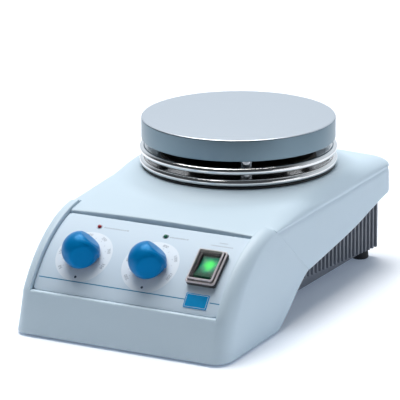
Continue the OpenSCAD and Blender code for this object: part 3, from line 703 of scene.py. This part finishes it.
rows = []
for x, size in ((-ROCK_HALF, 0.0), (-ROCK_HALF, 0.93), (-6.45, 0.975), (-6.0, 1.0), (-3, 1.0), (0, 1.0),
                (3, 1.0), (6.0, 1.0), (6.45, 0.975), (ROCK_HALF, 0.93), (ROCK_HALF, 0.0)):
    dish = 0.25 * (1 - (x / ROCK_HALF) ** 2)
    rows.append([rocked(x, y * size, z * size - (dish if z > 3 else 0)) for y, z in section])
rocker = settle(shell("rocker_cap", [rows]), sharp=50)
fit(rocker, "rocker", glow_green, "rocker_green", "switch_rocker")
pivot = [[rocked(x, r * math.cos(a), r * math.sin(a)) for a in (math.radians(20 * i) for i in range(19))]
         for x, r in ((-8.2, 0), (-8.2, 1.0), (-8.0, 1.2), (8.0, 1.2), (8.2, 1.0), (8.2, 0))]
fit(settle(shell("rocker_pivot", [pivot])), "rocker", black, "rocker_green")

# PVC, moulded clear and soft: colourless with a faint rose cast. The bright line along every thick rim comes from
# the cloudy beads below, partly painted highlight.
clear, tree, shader = finish("pvc_moulded_clear", "#FBF7F8", 0.04, Transmission_Weight=1.0, IOR=1.09,
                             Specular_IOR_Level=0.5)
textured(tree, shader, (0.02, 0.07), (0.15, 0.0003), Scale=300.0, Detail=1.0)
boot_rings = [(17.4, 23.4, 1.0, 2.3), (22.0, 28.0, 1.6, 2.3), (22.0, 28.0, 1.7, 3.1), (21.5, 27.5, 1.6, 3.45),
              (20.2, 26.2, 1.4, 3.4), (19.6, 25.6, 1.5, 3.7), (19.2, 25.2, 1.7, 5.5), (18.6, 24.6, 1.8, 6.1),
              (18.0, 24.0, 1.7, 6.2), (0.1, 0.1, 0.04, 6.2), (0.1, 0.1, 0.04, 5.7), (16.6, 22.6, 1.3, 5.75),
              (17.2, 23.2, 1.2, 5.5), (17.4, 23.4, 1.0, 4.6), (17.4, 23.4, 1.0, 2.3)]
boot = settle(shell("splash_boot", [raised_box(boot_rings)]), sharp=50)
fit(boot, "stirrer", clear, "clear_cover", "splash_cover")
# Two narrow beads stiffen the boot: one round its flange, one round the window.
# The same PVC where it is thick: cloudy white, with a faint rose cast. The beads' pale colour is partly that
# cloudiness and partly a painted highlight along each rim.
milky_and_highlight, tree, shader = finish("pvc_milky_painted_highlight", "#DAD2D6", 0.2, Transmission_Weight=0.15, IOR=1.38)
textured(tree, shader, shades=("#D0C7CC", "#E4DDE0"), Scale=500.0, Detail=1.0)
beads = [raised_box([(w - t, h - t, 1.2, low), (w, h, 1.6, low), (w, h, 1.6, high - 0.25),
                     (w - 0.3, h - 0.3, 1.5, high), (w - t + 0.3, h - t + 0.3, 1.3, high),
                     (w - t, h - t, 1.2, high - 0.25), (w - t, h - t, 1.2, low)])
         for w, h, t, low, high in ((21.98, 27.98, 2.2, 2.9, 3.85), (19.0, 25.0, 1.8, 5.4, 6.45))]
fit(settle(shell("splash_boot_beads", beads), sharp=70), "stirrer", milky_and_highlight, "clear_cover")

# ---- Hot plate
# A thick disc of aluminium alloy, turned on its top and side, its edges broken with a fine round. Three studs
# screwed into its underside hold it down on the posts.

PLATE_LOW, PLATE_TOP, PLATE_R = 106.5, 122.0, 70.0


def turned_marks(tree, shader, across, rough_low, rough_high, depth):
    """Fine circular tool marks round the plate stack's upright axis, in gloss and in relief."""
    spot = add(tree, "ShaderNodeTexCoord")
    moved = add(tree, "ShaderNodeVectorMath", {0: (spot, "Object"), 1: (0, PLATE_Y / 1000, 0)},
                operation="SUBTRACT")
    flat = add(tree, "ShaderNodeVectorMath", {0: (moved, "Vector"), 1: (1, 1, 0)}, operation="MULTIPLY")
    radius = add(tree, "ShaderNodeVectorMath", {0: (flat, "Vector")}, operation="LENGTH")
    height = add(tree, "ShaderNodeSeparateXYZ", {"Vector": (spot, "Object")})
    cut = add(tree, "ShaderNodeMath", {0: (radius, "Value"), 1: (height, "Z")}, operation="ADD")
    cuts = add(tree, "ShaderNodeTexNoise", {"W": (cut, "Value"), "Scale": across, "Detail": 3.0},
               noise_dimensions="1D")
    gloss = add(tree, "ShaderNodeMapRange", {"Value": (cuts, "Fac"), "To Min": rough_low, "To Max": rough_high})
    raised = add(tree, "ShaderNodeBump", {"Height": (cuts, "Fac"), "Strength": depth, "Distance": 0.0001})
    tree.links.new(gloss.outputs["Result"], shader.inputs["Roughness"])
    tree.links.new(raised.outputs["Normal"], shader.inputs["Normal"])


# Aluminium alloy, turned and lightly blasted: a pale, wide sheen with a trace of the circular cut.
alloy, tree, shader = finish("aluminium_turned_blasted", "#CCD2D8", 0.36, 1.0)
turned_marks(tree, shader, 2600.0, 0.3, 0.42, 0.05)
plate_outline = soften([(0.01, PLATE_TOP, 0), (PLATE_R, PLATE_TOP, 1.1), (PLATE_R, PLATE_LOW, 0.6),
                        (0.01, PLATE_LOW, 0)], 6)
hot_plate = shell("hot_plate_disc", [lathe(plate_outline, 0, PLATE_Y, 160)])
fit(settle(hot_plate), "stirrer", alloy, "plate_aluminium", "hot_plate")
# The same alloy below the top edge, as a darker and bluer copy: painted shade on the plate's side, which faces
# the dim front.
side_shade_alloy, tree, shader = finish("aluminium_side_painted_shade", "#73858F", 0.36, 1.0)
turned_marks(tree, shader, 1800.0, 0.3, 0.42, 0.05)
hot_plate.data.materials.append(side_shade_alloy)
# faces below the top edge take the darker copy, the painted shade
for face in hot_plate.data.polygons:
    if face.center.z < (PLATE_TOP - 0.5) / 1000:
        face.material_index = 1

# ---- Heat shields
# Two discs spun from stainless sheet, one above the other below the plate. Each has a wide hole in the middle,
# and its rim is rolled outwards into a full round bead, then polished.

RIM_AT, RIM_R, SHEET = 68.8, 2.7, 0.5

# Stainless steel, spun and mirror polished: near-perfect reflections, drawn out a little along the spinning.
chrome, tree, shader = finish("stainless_spun_polished", "#E6E5E4", 0.07, 1.0)
turned_marks(tree, shader, 900.0, 0.1, 0.18, 0.02)
for name, level, node in (("upper", 99.2, "upper_shield"), ("lower", 90.8, "lower_shield")):
    # the sheet runs into the bead, whose rolled edge tucks back against the underside
    bead = [(RIM_AT + RIM_R * math.cos(a), level + RIM_R * math.sin(a))
            for a in (math.radians(168 - 10 * k) for k in range(34))]
    outline = ([(37.2, level + SHEET), (60, level + SHEET), (65.6, level + SHEET)] + bead
               + [(65.6, level - SHEET), (60, level - SHEET), (37.2, level - SHEET), (37, level),
                  (37.2, level + SHEET)])
    disc = shell(f"{name}_shield_disc", [lathe(outline, 0, PLATE_Y, 160)])
    fit(settle(disc), "stirrer", chrome, "polished_steel", node)

# ---- Posts
# Three posts carry the plate. Each is a row of three turned steel sleeves on a stud, and they clamp the
# shields.

POST_RING, SLEEVE_R, STUD_R = 61.0, 4.3, 2.5
COLLAR_TOP = 88.0

# Steel, turned bright: fine rings round each sleeve, with a hard narrow highlight.
bright, tree, shader = finish("steel_turned_bright", "#C3C5C8", 0.2, 1.0)
spot = add(tree, "ShaderNodeTexCoord")
up_axis = add(tree, "ShaderNodeSeparateXYZ", {"Vector": (spot, "Object")})
cuts = add(tree, "ShaderNodeTexNoise", {"W": (up_axis, "Z"), "Scale": 5000.0, "Detail": 1.0},
           noise_dimensions="1D")
gloss = add(tree, "ShaderNodeMapRange", {"Value": (cuts, "Fac"), "To Min": 0.14, "To Max": 0.28})
raised = add(tree, "ShaderNodeBump", {"Height": (cuts, "Fac"), "Strength": 0.1, "Distance": 0.00005})
tree.links.new(gloss.outputs["Result"], shader.inputs["Roughness"])
tree.links.new(raised.outputs["Normal"], shader.inputs["Normal"])
posts = []
for angle in (-58, 62, 182):
    a = math.radians(angle)
    for low, high in ((99.7, 106.5), (91.3, 98.7), (88.0, 90.3)):
        outline = soften([(STUD_R, low, 0), (SLEEVE_R, low, 0.4), (SLEEVE_R, high, 0.4), (STUD_R, high, 0)], 3)
        posts.append(lathe(outline, POST_RING * math.cos(a), PLATE_Y + POST_RING * math.sin(a), 40))
fit(settle(shell("post_sleeves", posts)), "stirrer", bright, "steel", "spacer_sleeves")

# ---- Collar and guard
# A flat ring of black heat-resistant resin lies on the housing's seat. A thin cup of the same resin stands in
# its middle, closed at the top, over the turning magnets.

# Phenolic resin, pressed: black and hard, with a low even sheen.
phenolic, tree, shader = finish("phenolic_pressed_black", "#121416", 0.38)
textured(tree, shader, (0.3, 0.5), (0.1, 0.00008), Scale=700.0, Detail=3.0)
ring_outline = soften([(36, SEAT_Z, 0.2), (70, SEAT_Z, 0.3), (70, COLLAR_TOP, 0.5), (36, COLLAR_TOP, 0.3)], 4)
fit(settle(shell("collar_ring", [lathe(ring_outline, 0, PLATE_Y, 128)])), "stirrer", phenolic, "black_plastic",
    "insulating_collar")
cup_outline = soften([(0.01, 105.2, 0), (35.5, 105.2, 2.0), (35.5, SEAT_Z, 0.2), (34, SEAT_Z, 0.2),
                      (34, 103.7, 1.0), (0.01, 103.7, 0)], 5)
fit(settle(shell("guard_cup", [lathe(cup_outline, 0, PLATE_Y, 96)])), "stirrer", phenolic, "black_plastic",
    "magnet_guard")

# ---- Base tray
# One die casting in aluminium alloy: a flat floor with a low wall behind, side walls that carry a row of
# upright cooling ribs, and bosses for the screws that hold the housing down. It is left as cast and painted grey.


def edged(node, name, width, sharp=35):
    """A copy of a designed part, its flat faces joined up and its edges rounded off by a width in metres."""
    source = frame["nodes"][node]
    bm = bmesh.new()
    bm.from_mesh(source.data)
    bm.transform(source.matrix_world)
    bmesh.ops.remove_doubles(bm, verts=bm.verts, dist=0.00001)
    bmesh.ops.dissolve_limit(bm, angle_limit=math.radians(2), verts=bm.verts, edges=bm.edges)
    return settle(placed(name, bm), [edge_round(width, sharp)], sharp=sharp)


# Aluminium die casting, painted: a flat mid grey, mottled by the cast skin under the paint.
cast, tree, shader = finish("aluminium_die_cast_painted", "#676C76", 0.5, Specular_IOR_Level=0.45)
textured(tree, shader, (0.4, 0.62), (0.25, 0.0002), Scale=420.0, Detail=4.0)
textured(tree, shader, shades=("#60656F", "#6F747D"), Scale=30.0, Detail=2.0)
fit(edged("base_tray", "tray_casting", 0.0004), "stirrer", cast, "cast_grey", "base_tray")

# ---- Feet
# Four round feet of black rubber, each pulled on by a screw that sits deep in a hole in its underside.

# Rubber, moulded: black gone slightly grey, quite dull, with a fine bloom.
rubber, tree, shader = finish("rubber_moulded_black", "#26272A", 0.72)
textured(tree, shader, (0.62, 0.85), shades=("#202124", "#303236"), Scale=500.0, Detail=3.0)
feet = []
for x in (-60, 60):
    for y in (-118, 126):
        feet.append(lathe(soften([(3.6, 0, 0.2), (5.7, 0, 0.2), (6.5, 0.8, 0.8), (5.9, 7, 0.1), (2, 7, 0),
                                  (2, 3, 0), (3.6, 3, 0.1)], 4), x, y, 48))
fit(settle(shell("foot_mouldings", feet)), "stirrer", rubber, "rubber", "rubber_feet")

# ---- Rear connectors
# A mains inlet of black polyamide with its fuse drawer above the socket, and a round socket for a temperature
# probe. Both are pushed through the tray's rear wall from outside and clipped.

fit(edged("mains_inlet", "inlet_moulding", 0.0005), "stirrer", black, "black_plastic", "mains_inlet")
fit(edged("fuse_drawer", "drawer_moulding", 0.0005), "fuse_tray", black, "black_plastic", "fuse_drawer")
PROBE_X, PROBE_Z, WALL = 26.0, 30.0, 131.0
socket_outline = soften([(6.2, WALL - 4, 0), (6.2, WALL + 5.2, 0.35), (8.6, WALL + 5.2, 0.3),
                         (8.9, WALL + 4.7, 0.3), (10.5, WALL + 4.7, 0.5), (10.5, WALL + 3, 0.1),
                         (8, WALL + 3, 0), (8, WALL - 12, 0.3), (0.01, WALL - 12, 0), (0.01, WALL - 4, 0)], 4)
turned_socket = [[(PROBE_X + x, z, PROBE_Z + y) for x, y, z in row] for row in lathe(socket_outline, 0, 0, 64)]
fit(settle(shell("probe_socket_body", [turned_socket])), "stirrer", black, "black_plastic", "probe_socket")

# ---- Support rod socket
# A turned steel bush pressed into the housing from below, with a threaded hole for a stand rod.

bush_outline = soften([(4.25, 64, 0), (4.25, 82.6, 0), (5.3, 84, 0.2), (10, 84, 0.6), (10, 64, 0), (12, 64, 0.3),
                       (12, 61, 0.3), (0.01, 61, 0), (0.01, 64, 0)], 4)
threads = [(4.25 + (0.35 if k % 2 else 0), 66 + 0.5 * k) for k in range(33)]
start = bush_outline.index((4.25, 64))
bush_outline = bush_outline[:start + 1] + threads + bush_outline[start + 1:]
rod_bush = settle(shell("rod_bush", [lathe(bush_outline, ROD_X, ROD_Y, 64)]))
fit(rod_bush, "stirrer", bright, "steel", "rod_socket")

# ---- Inner parts
# What the housing hides keeps its designed shape, and gets the finish of its own material.

HIDDEN = {
    "steel": ("steel_zinc_plated", "#B4B6B8", 0.34, 1.0),
    "pot_green": ("glass_epoxy_moulded", "#33614D", 0.5, 0.0),
    "black_plastic": ("polyamide_black_moulded", "#17181A", 0.5, 0.0),
    "heater_mica": ("mica_pressed", "#5C544C", 0.7, 0.0),
    "brass": ("brass_turned", "#BD9A5C", 0.3, 1.0),
    "red_silicone": ("silicone_red_extruded", "#A8281E", 0.6, 0.0),
    "motor_grey": ("steel_painted_grey", "#4C4F54", 0.45, 0.0),
    "magnet_grey": ("ferrite_sintered", "#4A4A4E", 0.65, 0.0),
    "board_green": ("glass_epoxy_board", "#16522F", 0.45, 0.0),
    "component_dark": ("epoxy_potted_dark", "#34343A", 0.5, 0.0),
    "plate_aluminium": ("aluminium_turned_inner", "#B9BDC1", 0.4, 1.0),
    "fuse_glass": ("fuse_glass_clear", "#DFE6EA", 0.08, 0.0),
}
slot_of = {part["node"]: part["material_slot"] for part in frame["record"]["subparts"]}
inner = {}
for node, piece in frame["nodes"].items():
    if piece.hide_render or slot_of[node] not in HIDDEN:
        continue
    if slot_of[node] not in inner:
        name, colour, rough, metal = HIDDEN[slot_of[node]]
        coat, tree, shader = finish(name, colour, rough, metal)
        # the marks of turning, moulding and handling: gloss that wanders over a few millimetres
        textured(tree, shader, (rough * 0.8, min(rough * 1.25, 1.0)), (0.1, 0.0001), Scale=320.0, Detail=3.0)
        inner[slot_of[node]] = coat
    piece.data.materials.clear()
    piece.data.materials.append(inner[slot_of[node]])

# ---- Table, light and camera
# A white table runs back without an edge. It glows a faint blue, painted light that lifts its shadows, and it is
# painted grey towards the viewer, painted shade. A large soft light hangs overhead, a little behind and to the
# left, so the top is bright and the front is in half shade, and a low soft light stands to the right.

TABLE_HALF = 6.0
table = bpy.data.meshes.new("table")
table.from_pydata([(x * TABLE_HALF, y * TABLE_HALF, 0) for x, y in ((-1, -1), (1, -1), (1, 1), (-1, 1))], [],
                  [(0, 1, 2, 3)])
table = bpy.data.objects.new("table", table)
bpy.context.scene.collection.objects.link(table)
WALL_LIGHT, ROOM_LIGHT = 0.95, 0.08
# the paper's faint blue glow is painted light that lifts its shadows
paper, tree, shader = finish("paper_white_painted_shade", "#F7F8FA", 0.9, Specular_IOR_Level=0.1,
                             Emission_Color=linear("#C4DAF8"))
# painted shade: the paper turns grey towards the viewer, and its faint blue glow fades out there
spot = add(tree, "ShaderNodeTexCoord")
toward = add(tree, "ShaderNodeVectorMath", {0: (spot, "Object"), 1: (0.443, -0.896, 0.0)},
             operation="DOT_PRODUCT")
shade = add(tree, "ShaderNodeMapRange", {"Value": (toward, "Value"), "From Min": 0.27, "From Max": 0.8,
                                         "To Min": 0.0, "To Max": 1.0}, interpolation_type="SMOOTHSTEP")
painted_shade_tone = add(tree, "ShaderNodeMix", {"Factor": (shade, "Result"), "A": linear("#F7F8FA"), "B": linear("#8F99A2")},
           data_type="RGBA")
# the painted glow fades out where the painted shade is full
lift = add(tree, "ShaderNodeMapRange", {"Value": (shade, "Result"), "To Min": 0.18, "To Max": 0.0})
tree.links.new(painted_shade_tone.outputs["Result"], shader.inputs["Base Color"])
tree.links.new(lift.outputs["Result"], shader.inputs["Emission Strength"])
table.data.materials.append(paper)

for name, place, aim, size, power, colour in (
        ("light_top", (-0.3, 0.22, 1.65), (0.0, 0.0, 0.0), (1.3, 1.1), 36.0, "#FFFFFF"),
        ("light_right", (1.9, -0.2, 0.22), (0.0, 0.0, 0.05), (1.2, 0.35), 2.3, "#F6FAFF")):
    lamp = bpy.data.lights.new(name, "AREA")
    lamp.shape, lamp.size, lamp.size_y = "RECTANGLE", *size
    lamp.energy, lamp.color = power, linear(colour)[:3]
    lamp = bpy.data.objects.new(name, lamp)
    lamp.location = place
    lamp.rotation_euler = (Vector(aim) - Vector(place)).to_track_quat("-Z", "Y").to_euler()
    bpy.context.scene.collection.objects.link(lamp)

world = bpy.data.worlds.new("studio")
bpy.context.scene.world = world
world.use_nodes = True
tree = world.node_tree
# the studio's back wall is bright low down, and the rest is dim, which gives metal its dark front and dark
# upper right shoulder
spot = add(tree, "ShaderNodeTexCoord")
parts = add(tree, "ShaderNodeSeparateXYZ", {"Vector": (spot, "Generated")})
back = add(tree, "ShaderNodeMapRange", {"Value": (parts, "Y"), "From Min": -0.1, "From Max": 0.6,
                                        "To Min": 0.0, "To Max": 1.0}, interpolation_type="SMOOTHSTEP")
low = add(tree, "ShaderNodeMapRange", {"Value": (parts, "Z"), "From Min": 0.35, "From Max": 0.8,
                                       "To Min": WALL_LIGHT, "To Max": WALL_LIGHT * 0.25})
left = add(tree, "ShaderNodeMapRange", {"Value": (parts, "X"), "From Min": 0.1, "From Max": 0.8,
                                        "To Min": 1.0, "To Max": 0.8})
wall = add(tree, "ShaderNodeMath", {0: (back, "Result"), 1: (low, "Result")}, operation="MULTIPLY")
wall = add(tree, "ShaderNodeMath", {0: (wall, "Value"), 1: (left, "Result")}, operation="MULTIPLY")
both = add(tree, "ShaderNodeMath", {0: (wall, "Value"), 1: ROOM_LIGHT}, operation="ADD")
glow = tree.nodes["Background"]
glow.inputs["Color"].default_value = linear("#E4EEF8")
tree.links.new(both.outputs["Value"], glow.inputs["Strength"])

turn, rise = math.radians(26.3), math.radians(16.1)
backward = Vector((math.sin(turn) * math.cos(rise), -math.cos(turn) * math.cos(rise), math.sin(rise)))
right = Vector((math.cos(turn), math.sin(turn), 0))
upward = backward.cross(right)
level = Matrix((right, upward, backward)).transposed()
# the view is centred on the stirrer, a little to one side of the lens's own level axis
centre = Vector((-0.4457, 0.8494, -0.2837)).normalized()
swing = (-backward).rotation_difference(centre).to_matrix()
camera = bpy.data.cameras.new("camera")
camera.lens, camera.sensor_width = 270.0, 36.0
camera.clip_end = 30.0
camera = bpy.data.objects.new("camera", camera)
camera.matrix_world = Matrix.Translation((0.9449, -1.8161, 0.6756)) @ (swing @ level).to_4x4()
bpy.context.scene.collection.objects.link(camera)
bpy.context.scene.camera = camera
bpy.context.scene.view_settings.view_transform = "Standard"
